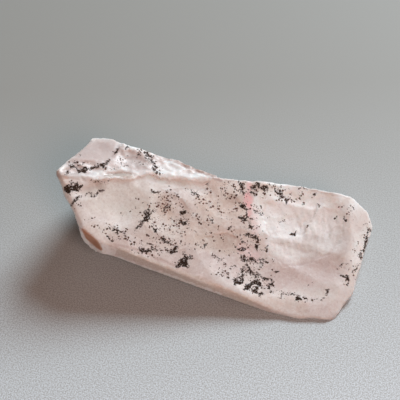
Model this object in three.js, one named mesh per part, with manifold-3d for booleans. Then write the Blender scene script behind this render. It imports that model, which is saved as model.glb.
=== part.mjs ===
// A rough crystal of morganite, the pink beryl, as it lies on a table.
// A flattened prism, broken at both ends, leans so that its broad face slopes down to the front right.
// A smaller individual has grown along its back, behind the left half, and is broken off nearly level.
// The left end is lifted clear of the table; the stone rests on a flat under its rear and its thin end.
// Lengths are in millimetres. +X runs along the crystal to its thin end, +Y to the back, +Z up.
import * as THREE from 'three';
import { mergeVertices } from 'three/addons/utils/BufferGeometryUtils.js';
import Module from 'manifold-3d';

const wasm = await Module();
wasm.setup();

// Driving dimensions
const frontEdgeY = -10.4; // the long straight front edge, in plan
const cornerX = -16.4; // where that edge starts, at the lifted left end
const toeX = 13.6; // where that edge comes down to the table
const broadFaceHeight = 8.9; // top of the front face at the lifted corner
const broadFaceFall = 0.28; // drop of the broad face towards the thin end, per millimetre
const broadFaceRise = 0.334; // rise of the broad face towards the back, per millimetre
const thinEndFall = 0.1; // the same drop over the flatter thin end
const toeHeight = 0.6; // top of the broad face at the toe
const lowerEdgeHeight = 6.1; // underside of the front face at the lifted corner
const lowerEdgeFall = 0.212; // drop of that edge towards the thin end, per millimetre
const ledgeHeight = 0.4; // step up from the broad face to the smaller individual
const roughLength = 60; // the block that the crystal is cut from
const roughWidth = 40;
const cutterSide = 160; // side of the blocks that cut it flat
const facetShare = 0.38; // length of a scoop's facets, as a share of its narrower radius
const shortestFacet = 0.6;

// The height of the broad face over a point of the table.
const broadFaceZ = (x, y) =>
  broadFaceHeight - broadFaceFall * (x - cornerX) + broadFaceRise * (y - frontEdgeY);
const onBroadFace = (x, y) => [x, y, broadFaceZ(x, y)];

// Corners that several flat faces share.
const tip = [-22.8, -3.5, 12.3];
const leftKeel = [-16.4, -3.2, 2.6];
const frontLowLeft = [cornerX, frontEdgeY, lowerEdgeHeight];
const ledgeLeft = onBroadFace(-18.1, -3);
const ledgeTop = [ledgeLeft[0], ledgeLeft[1], ledgeLeft[2] + ledgeHeight];

// Each flat face is given in one of three ways:
// a point on it and the way it looks, three corners of it in clockwise order from outside,
// or its upper edge, with the crystal on the right hand, and how far it spreads per millimetre down.
const rest = { through: [0, 0, 0], looks: [0, 0, -1] };

// The large individual.
const broadFace = { through: onBroadFace(0, 0), looks: [broadFaceFall, -broadFaceRise, 1] };
const thinEndFace = {
  through: [toeX, frontEdgeY, toeHeight], looks: [thinEndFall, -broadFaceRise, 1],
};
const levelBreak = { through: ledgeLeft, looks: [0.102, 0.06, 1] };
const leftFront = { through: tip, looks: [-0.77, -0.6, -0.21] };
const leftRear = { through: tip, looks: [-0.93, 0.05, -0.2] };
const leftUndercut = { corners: [[-21.9, -3, 9.4], [-15.9, -10.2, 6], leftKeel] };
const leftRim = { through: tip, looks: [-0.456, -0.73, 0.51] };
const frontFace = { through: [0, frontEdgeY, 5], looks: [0, -1, -0.04] };
const lowerFront = { through: frontLowLeft, looks: [-lowerEdgeFall, -0.8, -1] };
const lowerEdge = { through: [cornerX, -10.25, 6.1], looks: [-0.12, -0.88, -0.5] };
const windowFacet = { through: [-14.2, -10.5, 8.2], looks: [-0.29, -0.94, -0.12] };
const back = { edge: [[-1.5, 4.4, 9.7], [8.3, 7.84, 8.1]], spread: 0.1 };
const thinBack = { edge: [[8.3, 7.84, 8.1], [19, 9.33, 6.4]], spread: 0.15 };
const lowerBack = { through: [4.5, 7.4, 3.6], looks: [-0.1, 0.9, -0.5] };
const shoulder = { through: [18.5, 9.2, 6.65], looks: [0.51, -0.17, 0.84] };
const frontShoulder = { through: [20.8, -1.2, 2.96], looks: [0.386, -0.349, 0.854] };
const rearCorner = { edge: [[18.96, 9.33, 6.4], [21.7, 8.6, 4.6]], spread: 0.25 };
const thinEndRear = { edge: [[21.7, 8.6, 4.6], [22.8, 6.8, 3.6]], spread: 0.05 };
const thinEnd = { edge: [[22.8, 6.8, 3.6], [22.1, -4.3, 1.6]], spread: -0.1 };
const frontCorner = { edge: [[22.1, -4.3, 1.6], [20.3, -9, 0.4]], spread: -0.2 };
const toe = { edge: [[20.1, -9.1, 0.4], [13.8, -10.7, 0.45]], spread: -0.3 };
const mainSides = [
  leftFront, leftRear, leftUndercut, leftRim, frontFace, lowerFront, lowerEdge, windowFacet, back,
  thinBack, lowerBack, shoulder, frontShoulder, rearCorner, thinEndRear, thinEnd, frontCorner, toe,
  rest,
];

// The smaller individual.
const rearBreak = { through: ledgeTop, looks: [0.112, 0.05, 1] };
const ledge = { through: ledgeLeft, looks: [0.3, -0.66, 0.7] };
const rearLeft = { edge: [[-22.5, -2.2, 12.6], [-20.78, 6.11, 11.1]], spread: 0.15 };
const rearCornerFace = { edge: [[-20.78, 6.11, 11.1], [-16.56, 7.26, 10.5]], spread: 0 };
const rearFace = { edge: [[-16.42, 6.94, 10.8], [-9.42, 6.82, 9.7]], spread: 0.05 };
const rearRight = { edge: [[-9.42, 6.82, 9.7], [-0.67, 5.27, 8.97]], spread: 0.05 };
const rearBevel = { through: [-14.5, 5.2, 11.44], looks: [0.153, 0.463, 0.873] };
const lowerRear = { through: [-11.7, 7, 4.4], looks: [0, 0.8, -0.6] };
const rearThinEnd = { through: [-0.2, 5, 6], looks: [1, 0.2, 0.3] };
const rearSides = [
  leftFront, leftRear, leftUndercut, leftRim, ledge, rearLeft, rearCornerFace, rearFace, rearRight,
  rearBevel, lowerRear, rearThinEnd, rest,
];

// The smooth mauve facet at the rear left: a shallow wedge taken out of the nearly level break.
const wedgeFloor = { through: [-21.97, -0.03, 12.53], looks: [-0.076, -0.214, -0.974] };
const wedgeEnd = { through: [-16.35, 1.1, 11.85], looks: [1, -0.04, 0.3] };

// Shell-shaped scoops: the face each is on, a point near its middle, the way its long axis runs,
// its radius along that axis and across it, and its depth.
const scoops = [
  // the frosted bowls near the thin end, and the smooth hollow below them
  { on: broadFace, near: [10.1, 2.7, 6], grain: [1, -0.3, 0], reach: [4.9, 4], depth: 0.45 },
  { on: thinEndFace, near: [16.4, 3.1, 5], grain: [0.2, 1, 0], reach: [4.7, 3.9], depth: 0.45 },
  { on: broadFace, near: [11.3, -1.7, 4], grain: [1, -0.15, 0], reach: [4.5, 2.7], depth: 0.32 },
  { on: thinEndFace, near: [15.4, -0.4, 4], grain: [0.6, 0.8, 0], reach: [3.1, 2.2], depth: 0.3 },
  { on: thinEndFace, near: [15.4, -5.2, 2], grain: [1, -0.1, 0], reach: [5, 2.9], depth: 0.22 },
  { on: thinEndFace, near: [13.9, 7.2, 6], grain: [1, 0.1, 0], reach: [3.4, 1.5], depth: 0.22 },
  // the middle of the broad face, from the glassy hollow at the left
  { on: broadFace, near: [-12.7, -4.7, 10], grain: [1, 0.25, 0], reach: [6, 3.7], depth: 0.22 },
  { on: broadFace, near: [-6.2, -2.7, 8], grain: [0.7, -0.7, 0], reach: [4.4, 3.3], depth: 0.3 },
  { on: broadFace, near: [1.4, -4.2, 6], grain: [1, -0.3, 0], reach: [4, 2.5], depth: 0.16 },
  { on: broadFace, near: [0.9, 1.4, 8], grain: [1, -0.2, 0], reach: [3.7, 2.3], depth: 0.2 },
  // flakes along the ledge
  { on: broadFace, near: [-17.3, -4.4, 11], grain: [0.8, 0.5, 0], reach: [2.7, 1.3], depth: 0.3 },
  { on: broadFace, near: [-13.9, -1.9, 11], grain: [1, 0.4, 0], reach: [2.6, 1.1], depth: 0.22 },
  { on: broadFace, near: [-9.8, 0.6, 10], grain: [1, 0.2, 0], reach: [3.2, 1.6], depth: 0.4 },
  { on: broadFace, near: [-6.4, 1.6, 9], grain: [1, -0.1, 0], reach: [2, 1.1], depth: 0.3 },
  { on: broadFace, near: [-2.9, 2.4, 9], grain: [1, 0.5, 0], reach: [2.5, 1.2], depth: 0.35 },
  { on: rearBreak, near: [-14.5, -0.5, 12], grain: [1, 0.4, 0], reach: [2.6, 0.9], depth: 0.3 },
  // the nearly level break behind it
  { on: rearBreak, near: [-20.6, -2.2, 12], grain: [1, 0.8, 0], reach: [2.2, 1.1], depth: 0.25 },
  { on: rearBreak, near: [-17.8, -1.4, 12], grain: [1, 0.3, 0], reach: [2, 1.1], depth: 0.25 },
  { on: rearBreak, near: [-13.6, 3, 12], grain: [1, 0.1, 0], reach: [3, 1.7], depth: 0.3 },
  { on: rearBreak, near: [-11.6, 4.7, 11], grain: [1, -0.3, 0], reach: [2, 1], depth: 0.25 },
  { on: rearBreak, near: [-8.3, 4.2, 11], grain: [1, -0.2, 0], reach: [2.5, 1.3], depth: 0.3 },
  { on: rearBreak, near: [-4.9, 3.9, 10], grain: [1, 0.1, 0], reach: [2, 1], depth: 0.3 },
  // the back and the left end, with the ends of growth steps across the prism faces
  { on: rearFace, near: [-14.4, 7, 7.8], grain: [1, 0, 0.3], reach: [3.4, 2.2], depth: 0.5 },
  { on: rearRight, near: [-5.4, 6, 6.6], grain: [1, 0, -0.2], reach: [4.4, 2.4], depth: 0.55 },
  { on: back, near: [3.6, 6.6, 5.8], grain: [1, 0, 0.2], reach: [4, 2], depth: 0.4 },
  { on: thinBack, near: [13.6, 9, 4], grain: [1, 0, -0.1], reach: [4.4, 1.9], depth: 0.45 },
  { on: leftFront, near: [-19.6, -6.9, 9], grain: [0.3, -0.3, 1], reach: [2.6, 1.9], depth: 0.3 },
  { on: rearLeft, near: [-21.6, 0.6, 12.3], grain: [0.2, 1, 0], reach: [1.6, 0.9], depth: 0.22 },
  { on: leftRear, near: [-21.4, 1.4, 7.4], grain: [0, 1, 0.4], reach: [3.9, 2.6], depth: 0.6 },
  { on: leftRear, near: [-20.9, 4.6, 4.6], grain: [0, 1, -0.4], reach: [3, 1.9], depth: 0.4 },
  { on: leftUndercut, near: [-17.6, -4.6, 5], grain: [0.4, -1, 0], reach: [3.4, 2], depth: 0.4 },
  // underneath
  { on: lowerFront, near: [-9.8, -6.8, 3], grain: [1, 0.2, 0], reach: [4, 2.3], depth: 0.3 },
  { on: lowerFront, near: [-2.4, -7.6, 2], grain: [1, -0.1, 0], reach: [3.2, 1.5], depth: 0.2 },
  // the thin end and the toe
  { on: thinEnd, near: [22.9, 2.8, 1.7], grain: [0, 1, 0.3], reach: [3.2, 1.5], depth: 0.35 },
  { on: thinEnd, near: [22.2, -1.7, 2], grain: [0, 1, 0.2], reach: [1.7, 0.9], depth: 0.22 },
  { on: frontCorner, near: [21.3, -6.5, 0.8], grain: [0.3, 1, 0], reach: [1.5, 0.8], depth: 0.2 },
  { on: toe, near: [17.2, -9.9, 0.4], grain: [1, 0.2, 0], reach: [1.6, 0.9], depth: 0.18 },
  { on: toe, near: [14.2, -10.6, 0.4], grain: [1, 0.2, 0], reach: [0.9, 0.7], depth: 0.2 },
];

// Small chips along an edge: its two ends, how many, and their radius and depth.
const chippedEdges = [
  { from: [-13.4, -10.5, 8.05], to: [11.5, -10.4, 1.1], count: 8, reach: 0.6, depth: 0.09 },
  { from: [-13.4, -10.35, 5.4], to: [9.6, -10.35, 0.6], count: 8, reach: 0.6, depth: 0.1 },
  { from: [-22, -4.4, 11.9], to: [-17.2, -9.6, 8.8], count: 5, reach: 0.7, depth: 0.12 },
  { from: [-21.6, 0.9, 12.2], to: [-20.8, 5.4, 11.2], count: 4, reach: 0.7, depth: 0.14 },
  { from: [-19.5, 6.5, 10.9], to: [-1.4, 5.4, 9.1], count: 9, reach: 0.8, depth: 0.14 },
  { from: [0.8, 5.3, 9.3], to: [18.2, 9.2, 6.5], count: 9, reach: 0.8, depth: 0.12 },
  { from: [22.8, 6, 3.5], to: [22.2, -3.8, 1.8], count: 6, reach: 0.7, depth: 0.14 },
];

// A three.js geometry, placed, as a solid that can be cut and joined.
function solidOf(geometry, placed = new THREE.Matrix4()) {
  geometry.deleteAttribute('normal');
  geometry.deleteAttribute('uv');
  const merged = mergeVertices(geometry.applyMatrix4(placed), 1e-4);
  return new wasm.Manifold(new wasm.Mesh({
    numProp: 3,
    vertProperties: merged.attributes.position.array,
    triVerts: new Uint32Array(merged.index.array),
  }));
}

const up = new THREE.Vector3(0, 0, 1);

// A face's point and unit normal, from whichever of the three ways it is given in.
function planeOf({ through, looks, corners, edge, spread }) {
  if (corners) {
    const [a, b, c] = corners.map((corner) => new THREE.Vector3(...corner));
    return { through: a, looks: c.clone().sub(a).cross(b.clone().sub(a)).normalize() };
  }
  if (edge) {
    const [a, b] = edge.map((end) => new THREE.Vector3(...end));
    const along = b.clone().sub(a);
    const outward = new THREE.Vector3(-along.y, along.x, 0).normalize();
    const down = outward.multiplyScalar(spread).sub(up);
    return { through: a, looks: along.cross(down).normalize() };
  }
  return {
    through: new THREE.Vector3(...through),
    looks: new THREE.Vector3(...looks).normalize(),
  };
}

// Everything beyond a flat face, as a large block standing on that face.
function beyond(face) {
  const { through, looks } = planeOf(face);
  const placed = new THREE.Matrix4().makeRotationFromQuaternion(
    new THREE.Quaternion().setFromUnitVectors(up, looks));
  placed.setPosition(through.addScaledVector(looks, cutterSide / 2));
  return solidOf(new THREE.BoxGeometry(cutterSide, cutterSide, cutterSide), placed);
}

function cutFlat(faces) {
  const rough = solidOf(new THREE.BoxGeometry(roughLength, roughWidth, roughWidth));
  return faces.reduce((solid, face) => solid.subtract(beyond(face)), rough);
}

// The stretched ball that leaves a scoop of the wanted radii and depth in a face.
function ballFor(middle, looks, grain, [long, wide], depth) {
  const radius = (wide * wide + depth * depth) / (2 * depth);
  const facet = Math.max(shortestFacet, facetShare * wide);
  const ball = new THREE.IcosahedronGeometry(radius, Math.ceil((1.1 * radius) / facet));
  const along = grain.clone().addScaledVector(looks, -grain.dot(looks)).normalize();
  const across = looks.clone().cross(along);
  const placed = new THREE.Matrix4().makeBasis(along.multiplyScalar(long / wide), across, looks);
  placed.setPosition(middle.clone().addScaledVector(looks, radius - depth));
  return solidOf(ball, placed);
}

function scoopCutter({ on, near, grain, reach, depth }) {
  const { through, looks } = planeOf(on);
  const middle = new THREE.Vector3(...near);
  middle.addScaledVector(looks, looks.dot(through) - looks.dot(middle));
  return ballFor(middle, looks, new THREE.Vector3(...grain), reach, depth);
}

// Chips unevenly spaced along an edge, each of its own size.
function chipCutters({ from, to, count, reach, depth }, edgeIndex) {
  const start = new THREE.Vector3(...from);
  const along = new THREE.Vector3(...to).sub(start);
  const middleOfStone = new THREE.Vector3(0, -1, 4);
  return Array.from({ length: count }, (_, i) => {
    const wander = 0.35 * Math.sin(12.9 * (i + 1) + 7.7 * edgeIndex);
    const size = reach * (1 + 0.45 * Math.sin(5.1 * i + edgeIndex));
    const middle = start.clone().addScaledVector(along, (i + 0.5 + wander) / count);
    const outward = middle.clone().sub(middleOfStone);
    outward.addScaledVector(along, -outward.dot(along) / along.lengthSq()).normalize();
    return ballFor(middle, outward, along, [1.5 * size, size], depth);
  });
}

const large = cutFlat([...mainSides, broadFace, levelBreak])
  .add(cutFlat([...mainSides, thinEndFace]));
const small = cutFlat([...rearSides, rearBreak]).subtract(cutFlat([wedgeFloor, wedgeEnd]));
const cutters = [...scoops.map(scoopCutter), ...chippedEdges.flatMap(chipCutters)];
const crystal = cutters.reduce((solid, cutter) => solid.subtract(cutter), large.add(small));

// The finished solid as a three.js geometry, with the middle of its base at the origin.
function geometryOf(solid) {
  const { vertProperties, triVerts } = solid.getMesh();
  const geometry = new THREE.BufferGeometry();
  geometry.setAttribute('position', new THREE.BufferAttribute(vertProperties, 3));
  geometry.setIndex(new THREE.BufferAttribute(triVerts, 1));
  geometry.computeBoundingBox();
  const middle = geometry.boundingBox.getCenter(new THREE.Vector3());
  geometry.translate(-middle.x, -middle.y, 0);
  return geometry;
}

const pink = new THREE.MeshStandardMaterial({ color: 0xd8c4bb, roughness: 0.4, metalness: 0 });
const mesh = new THREE.Mesh(geometryOf(crystal), pink);
mesh.name = 'morganite_crystal';

const part = new THREE.Group();
part.add(mesh);
export default part;
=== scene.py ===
# A rough morganite crystal: the imported solid gets its fine relief, its zones of colour, its stains and its
# painted shade and highlights, and is set in a pale studio whose floor has painted light. Lengths are in
# metres, angles in degrees, places on the photo in pixels.
import math
import bpy
import numpy as np
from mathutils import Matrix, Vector, noise


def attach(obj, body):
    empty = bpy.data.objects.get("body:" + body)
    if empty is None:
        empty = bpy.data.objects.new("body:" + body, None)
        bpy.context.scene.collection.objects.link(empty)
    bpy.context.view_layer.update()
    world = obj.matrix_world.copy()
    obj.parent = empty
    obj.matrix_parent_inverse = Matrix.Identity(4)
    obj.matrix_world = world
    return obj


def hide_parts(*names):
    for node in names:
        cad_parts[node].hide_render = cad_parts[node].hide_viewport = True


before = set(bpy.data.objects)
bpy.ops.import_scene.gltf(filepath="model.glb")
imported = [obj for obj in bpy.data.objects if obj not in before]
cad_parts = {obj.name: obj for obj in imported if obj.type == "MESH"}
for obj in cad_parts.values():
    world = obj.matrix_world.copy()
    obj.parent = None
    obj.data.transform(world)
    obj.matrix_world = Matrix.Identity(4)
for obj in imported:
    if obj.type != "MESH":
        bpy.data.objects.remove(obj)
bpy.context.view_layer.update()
mm = 0.001
print("frame loaded:", sorted(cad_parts))


# The camera stands where the photo's did

photoCamera = {
    "azimuth": 16.0,  # turned to the right of straight in front
    "elevation": 48.0,
    "distance": 150 * mm,
    "aim": (-4.39 * mm, 8.45 * mm, 0.0),
    "lensMm": 85.0,
    "sensorMm": 36.0,
    "imagePx": 400,
    "nearest": 1 * mm,
}


def cameraAxes():
    turn = math.radians(photoCamera["azimuth"])
    rise = math.radians(photoCamera["elevation"])
    right = Vector((math.cos(turn), math.sin(turn), 0))
    back = Vector((math.sin(turn) * math.cos(rise), -math.cos(turn) * math.cos(rise), math.sin(rise)))
    return right, back.cross(right), back


def placeCamera():
    right, up, back = cameraAxes()
    aim = Vector(photoCamera["aim"])
    bpy.ops.object.camera_add(location=aim + back * photoCamera["distance"])
    camera = bpy.context.object
    camera.name = "photoCamera"
    camera.rotation_euler = back.to_track_quat("Z", "Y").to_euler()
    camera.data.lens = photoCamera["lensMm"]
    camera.data.sensor_width = photoCamera["sensorMm"]
    camera.data.clip_start = photoCamera["nearest"]
    bpy.context.scene.camera = camera


# Where points of the stone fall on the photo, and how squarely they face its camera
def seenOnPhoto(places, normals):
    right, up, back = (np.array(axis) for axis in cameraAxes())
    away = places - np.array(photoCamera["aim"]) - back * photoCamera["distance"]
    scale = photoCamera["imagePx"] * photoCamera["lensMm"] / photoCamera["sensorMm"]
    depth = -(away @ back)
    across = photoCamera["imagePx"] / 2 + scale * (away @ right) / depth
    down = photoCamera["imagePx"] / 2 - scale * (away @ up) / depth
    return across, down, normals @ back


placeCamera()


# Strokes laid on the stone as it stands in the photo: half width in pixels, strength,
# and the points that the stroke runs through

# Dark mineral grains, large and close together
blotStrokes = {
    "tip blot": (4.6, 1.0, (68, 190), (76, 187)),
    "tip blot arm": (1.8, 0.95, (75, 191), (83, 186)),
    "tip blot tail": (1.9, 0.75, (79, 195), (76, 200), (72, 205)),
    "tip dashes": (1.3, 0.8, (65, 175), (68, 171)),
    "band zigzag": (1.9, 0.85, (71, 165), (79, 171), (86, 170)),
    "band zigzag top": (1.4, 0.7, (74, 161), (79, 164), (81, 169)),
    "band line": (1.8, 0.75, (87, 169), (97, 167), (104, 165), (109, 161)),
    "below ledge": (1.9, 0.8, (85, 195), (94, 194), (101, 189)),
    "on ledge": (2.4, 0.62, (90, 181), (104, 182)),
    "ledge dot": (1.5, 0.75, (108, 180), (111, 179)),
    "lens dots": (1.2, 0.6, (111, 169), (119, 168)),
    "facet dash": (1.1, 0.95, (113, 152), (119, 150)),
    "back dash": (1.3, 0.95, (125, 147), (128, 149)),
    "back dash right": (1.1, 0.7, (137, 153), (141, 156)),
    "band dots": (1.1, 0.6, (121, 164), (128, 165)),
    "facet dot": (1.0, 0.85, (79, 155), (80, 155)),
    "band diagonal": (3.2, 0.72, (147, 155), (153, 164)),
    "band diagonal end": (1.9, 0.75, (153, 166), (158, 175)),
    "flake dots": (1.5, 0.8, (152, 192), (161, 191)),
    "ledge dash": (1.1, 0.8, (167, 186), (170, 186)),
    "ridge dots": (2.6, 0.75, (191, 191), (198, 195)),
    "ridge dash": (1.2, 0.8, (205, 185), (208, 184)),
    "dark diagonal": (3.6, 0.8, (150, 212), (146, 216)),
    "dark diagonal middle": (2.8, 0.8, (147, 219), (142, 220)),
    "dark diagonal tail": (1.9, 0.72, (141, 224), (136, 228)),
    "rust blot": (1.8, 0.5, (169, 202), (166, 210), (161, 215)),
    "middle dot": (1.9, 1.0, (182, 213), (183, 213)),
    "middle dot low": (1.9, 1.0, (183, 223), (186, 223)),
    "middle dash": (1.1, 0.8, (211, 220), (211, 223)),
    "lone dot": (1.8, 1.0, (154, 230), (156, 230)),
    "middle blot": (2.1, 0.85, (163, 240), (168, 243)),
    "middle low blots": (2.2, 0.72, (168, 251), (177, 250)),
    "triangle": (3.6, 1.0, (182, 263), (186, 258)),
    "triangle foot": (1.6, 0.9, (178, 265), (190, 266)),
    "spider": (1.5, 0.75, (139, 248), (147, 252), (157, 250)),
    "spider body": (1.9, 1.0, (147, 251), (149, 251)),
    "spider leg": (1.3, 0.8, (146, 253), (152, 246)),
    "corner dash": (1.2, 0.95, (107, 237), (113, 241)),
    "corner patch": (2.6, 0.62, (110, 228), (124, 233)),
    "streak side": (3.0, 0.78, (241, 184), (244, 193)),
    "streak arch": (2.4, 0.9, (251, 188), (257, 184), (264, 188)),
    "streak arch foot": (2.0, 0.7, (250, 193), (256, 193)),
    "streak dots": (2.2, 0.8, (242, 205), (246, 207)),
    "streak foot": (2.6, 0.85, (241, 218), (246, 220)),
    "streak needle": (1.1, 0.9, (246, 210), (247.5, 219)),
    "streak foot tail": (1.6, 0.7, (249, 222), (250.5, 228)),
    "beside streak": (2.2, 0.6, (256, 211), (261, 215)),
    "long diagonal": (1.3, 0.7, (269, 185), (277, 191)),
    "long diagonal end": (2.3, 0.78, (278, 192), (285, 200)),
    "top row": (1.2, 0.66, (299, 188), (309, 190)),
    "top dot": (1.4, 0.95, (314, 195), (316, 195)),
    "top dots": (1.0, 0.9, (303, 205), (304, 205)),
    "top dot right": (1.0, 0.9, (319, 204), (320, 204)),
    "bowl dash": (1.3, 1.0, (291, 235), (297, 233)),
    "bowl mark": (1.0, 0.7, (280, 220), (283, 221)),
    "shoulder dot": (1.3, 0.9, (339, 207), (341, 207)),
    "shoulder dots": (1.2, 0.75, (351, 205), (355, 209)),
    "shoulder dot low": (1.2, 0.85, (337, 218), (338, 218)),
    "shoulder dot end": (1.3, 0.9, (344, 220), (346, 220)),
    "right edge": (1.8, 0.78, (369, 228), (366, 240), (361, 256)),
    "right edge low": (2.0, 0.6, (359, 265), (353, 273)),
    "right dash": (1.4, 0.9, (340, 266), (344, 264)),
    "corner mark": (2.0, 0.85, (343, 276), (348, 279)),
    "right row": (1.1, 0.85, (336, 269), (337, 269)),
    "upper dashes": (2.4, 0.72, (245, 234), (256, 237)),
    "dashes": (1.2, 0.85, (242, 242), (248, 244)),
    "dash dot": (1.8, 0.95, (256, 246), (258, 247)),
    "dash left": (1.2, 0.85, (237, 249), (242, 250)),
    "low middle": (4.0, 0.62, (243, 258), (262, 262)),
    "low middle foot": (3.4, 0.62, (246, 270), (258, 274)),
    "low blot": (3.0, 0.92, (236, 282), (242, 282)),
    "low blot stem": (2.2, 0.75, (241, 278), (243, 268)),
    "low arch": (2.2, 1.0, (246, 289), (250, 284), (256, 282), (261, 285)),
    "low arch tail": (1.7, 0.95, (254, 288), (261, 294)),
    "low right": (2.2, 0.72, (265, 279), (271, 279), (270, 286)),
    "bottom row": (1.5, 0.66, (279, 298), (284, 294), (293, 294)),
    "bottom blot": (2.1, 0.9, (297, 297), (301, 300)),
    "bottom dot": (1.4, 0.95, (307, 298), (308, 298)),
    "bottom row end": (2.1, 0.9, (326, 295), (328, 290)),
    "bottom row tail": (1.2, 0.75, (316, 300), (323, 298)),
    "hollow dot": (1.4, 1.0, (275, 274), (278, 272)),
    "hollow dots": (1.1, 0.9, (311, 281), (313, 283)),
    "hollow dot low": (1.0, 0.9, (307, 286), (308, 286)),
    "low dot": (1.3, 0.9, (222, 276), (223, 276)),
    "sparse": (2.4, 0.6, (213, 254), (221, 260)),
    "sparse left": (1.3, 0.75, (203, 247), (207, 245)),
    "sparse right": (1.2, 0.7, (228, 228), (232, 227)),
}

# Fine dark grains, scattered
grainStrokes = {
    "rust patch": (11, 1.0, (162, 200), (162, 214)),
    "middle": (12, 1.0, (160, 222), (184, 226)),
    "middle low": (11, 0.95, (162, 238), (178, 250)),
    "middle right": (8, 0.9, (190, 216), (212, 222)),
    "left": (7, 0.9, (98, 224), (128, 236)),
    "left low": (4, 0.8, (118, 238), (134, 226)),
    "corner": (3.5, 0.6, (86, 220), (98, 226)),
    "dotted line": (1.3, 0.9, (133, 238), (133, 248)),
    "rust right": (10, 1.0, (200, 203), (232, 210)),
    "rust right top": (8, 0.85, (206, 194), (238, 198)),
    "top": (7, 0.95, (224, 188), (276, 191)),
    "streak": (10, 0.9, (242, 194), (250, 228)),
    "below streak": (12, 0.9, (250, 236), (252, 264)),
    "below streak right": (7, 0.7, (262, 240), (264, 262)),
    "low": (10, 0.9, (226, 274), (268, 284)),
    "low end": (6, 0.6, (272, 262), (276, 280)),
    "bottom": (6, 0.55, (276, 295), (312, 300)),
    "top right": (7, 0.42, (282, 190), (352, 206)),
    "shoulder": (7, 0.5, (346, 208), (362, 238)),
    "right side": (6, 0.6, (358, 250), (345, 284)),
    "band": (6, 0.9, (70, 168), (112, 164)),
    "band middle": (6, 0.55, (121, 159), (144, 164)),
    "band back": (7, 0.8, (144, 152), (158, 174)),
    "left side": (5, 0.6, (70, 180), (78, 206)),
    "whole middle": (30, 0.58, (150, 222), (240, 232)),
    "spider halo": (8, 0.95, (138, 246), (158, 252)),
    "triangle halo": (8, 0.75, (180, 262), (190, 258)),
    "arch halo": (7, 0.7, (246, 288), (262, 288)),
    "bowl": (16, 0.35, (275, 215), (300, 225)),
    "ridge": (7, 0.75, (186, 192), (204, 196)),
    "flake": (5, 0.7, (152, 192), (176, 196)),
    "top middle": (8, 0.8, (272, 192), (300, 200)),
    "beside streak": (6, 0.7, (258, 206), (262, 230)),
    "low left": (8, 0.5, (206, 262), (226, 278)),
    "edge": (5, 0.8, (366, 226), (354, 278)),
}

# White, frosted fracture surfaces, and painted highlights along the left rim, the corner and the lower edge
frostAndHighlightStrokes = {
    "ledge end": (2.2, 1.0, (190, 178.5), (209, 178.5)),
    "white wedge": (3.4, 0.85, (163, 164), (177, 168), (186, 175), (207, 178)),
    "white wedge left": (4.6, 0.75, (160, 170), (180, 175)),
    "ledge face": (3.6, 0.75, (136, 173), (152, 172), (164, 176), (186, 178.5)),
    "above lens": (2.6, 0.8, (91, 175), (104, 171), (128, 169)),
    "blotch": (3.4, 0.9, (82, 177), (86, 184)),
    "band": (8, 0.35, (124, 156), (160, 166)),
    "band left": (6, 0.35, (72, 166), (110, 170)),
    "back edge": (3, 0.7, (118, 143), (128, 146)),
    "back edge right": (2.4, 0.9, (128, 147), (138, 150)),
    "facet top": (1.8, 0.4, (98, 139), (112, 143)),
    "below ledge": (4, 0.35, (168, 190), (200, 189)),
    "bowl": (21, 1.0, (280, 213), (296, 222)),
    "bowl top": (5, 0.85, (266, 203), (288, 196), (312, 200)),
    "bowl low": (9, 0.7, (272, 245), (300, 252), (322, 246)),
    "bowl right": (12, 0.85, (330, 208), (336, 236)),
    "top right": (9, 1.0, (285, 194), (350, 206)),
    "shoulder": (7, 0.3, (350, 206), (364, 216)),
    "beside streak": (6, 0.6, (256, 196), (258, 240)),
    "dashes": (4, 0.6, (244, 238), (264, 247)),
    "streak foot dash": (1.4, 1.0, (240, 245), (248, 248), (254, 251)),
    # painted highlights: the light caught along the left rim, the corner and the lower edge
    "left rim": (2.0, 0.4, (58, 180), (63, 190), (69, 208)),
    "left rim low": (2.4, 0.75, (69, 208), (76, 222), (83, 234)),
    "corner rim": (2.4, 1.0, (82, 233), (89, 246)),
    "lower edge left": (2.6, 1.0, (90, 248), (104, 253), (122, 260)),
    "lower edge": (1.2, 0.85, (122, 260), (176, 278), (221, 294)),
    "corner facet": (3.2, 0.7, (104, 247), (113, 252)),
    "front right bevel": (5, 0.3, (350, 279), (335, 309)),
}

# Clear places, where the eye looks into the stone
clearStrokes = {
    "lens": (2.8, 1.0, (107, 175.5), (119, 174.5), (131, 175.5)),
    "left hollow": (16, 0.6, (100, 198), (146, 202)),
    "ledge hollow": (4, 0.7, (150, 175), (186, 183)),
    "middle hollow": (9, 0.45, (200, 240), (228, 246)),
    "strip": (4, 0.7, (120, 251), (180, 274), (250, 302)),
}

# Painted shade, darkening the thin slivers that let the light through, the greyish facet, band and tip,
# and the arc in the bowl
paintedShadeStrokes = {
    "back sliver": (2.2, 0.6, (148, 149), (167, 157)),
    "back sliver end": (2.8, 0.9, (176, 161), (192, 168), (210, 174.5), (220, 179)),
    "lens": (2.6, 0.45, (107, 175.5), (119, 174.5), (131, 175.5)),
    "band": (12, 0.28, (76, 162), (170, 160)),
    "facet": (11, 0.58, (84, 153), (114, 149)),
    "tip": (4.2, 0.5, (57, 174), (74, 173)),
    "bevel": (5, 0.10, (350, 279), (338, 304)),
    "shoulder": (9, 0.2, (350, 206), (364, 224)),
    "wedge": (5, 0.16, (164, 166), (204, 177)),
    "bowl arc": (1.4, 0.16, (317, 205), (315, 216), (309, 226), (301, 235)),
}

# painted shade along the far edge of the outline, where the light from behind lights the rim
rimShadeStrokes = {  # along the far edge of the outline
    "back edge": (2.0, 0.5, (224, 179), (255, 180), (282, 182), (316, 190), (352, 197)),
    "band": (1.6, 0.35, (118, 140), (140, 147)),
}

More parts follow.
